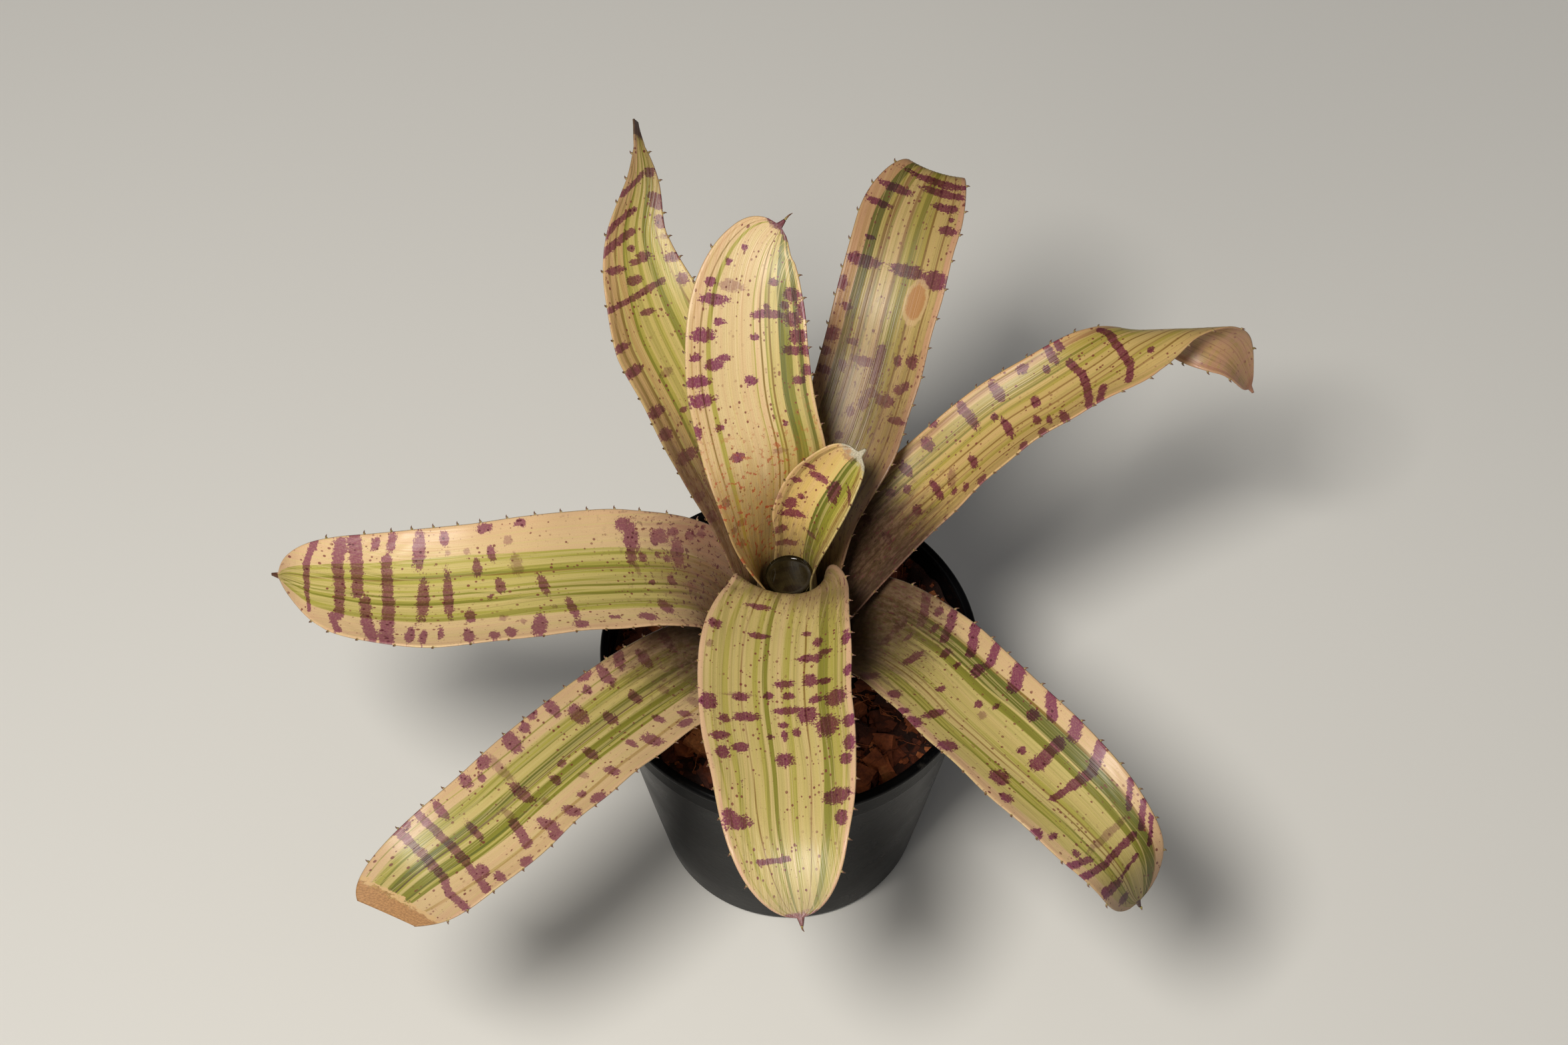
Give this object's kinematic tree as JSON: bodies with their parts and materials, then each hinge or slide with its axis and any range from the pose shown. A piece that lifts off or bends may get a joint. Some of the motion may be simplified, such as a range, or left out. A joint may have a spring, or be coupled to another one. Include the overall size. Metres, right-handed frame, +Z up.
{
  "type": "potted neoregelia",
  "caption": "Variegated neoregelia with spined strap leaves round a small tank of water, growing in husk mix in a round plastic nursery pot that stands on its flat base.",
  "frame": {"origin": "centre of the pot's flat base", "axes": "+Z up along the pot's axis, +X to the right and -Y towards the viewer, as the plant is seen from its front"},
  "size_m": [0.3252, 0.2623, 0.2477],
  "materials": {
    "pot_plastic": "black moulded plastic, satin gloss",
    "husk": "damp red-brown husk chips and fibre",
    "caudex": "dull fibrous stem",
    "tank_water": "still water, dark olive over the shaded cup",
    "variegated_leaf": "leathery satin leaf, cream and green stripes with maroon blotches"
  },
  "bodies": {
    "root": {"pot": "pot_plastic", "husk_mix": "husk", "stem": "caudex", "tank_water": "tank_water", "leaf_heart": "variegated_leaf", "leaf_back": "variegated_leaf", "leaf_front": "variegated_leaf", "leaf_back_right": "variegated_leaf", "leaf_back_left": "variegated_leaf", "leaf_right": "variegated_leaf", "leaf_left": "variegated_leaf", "leaf_front_right": "variegated_leaf", "leaf_front_left": "variegated_leaf"}
  },
  "joints": []
}
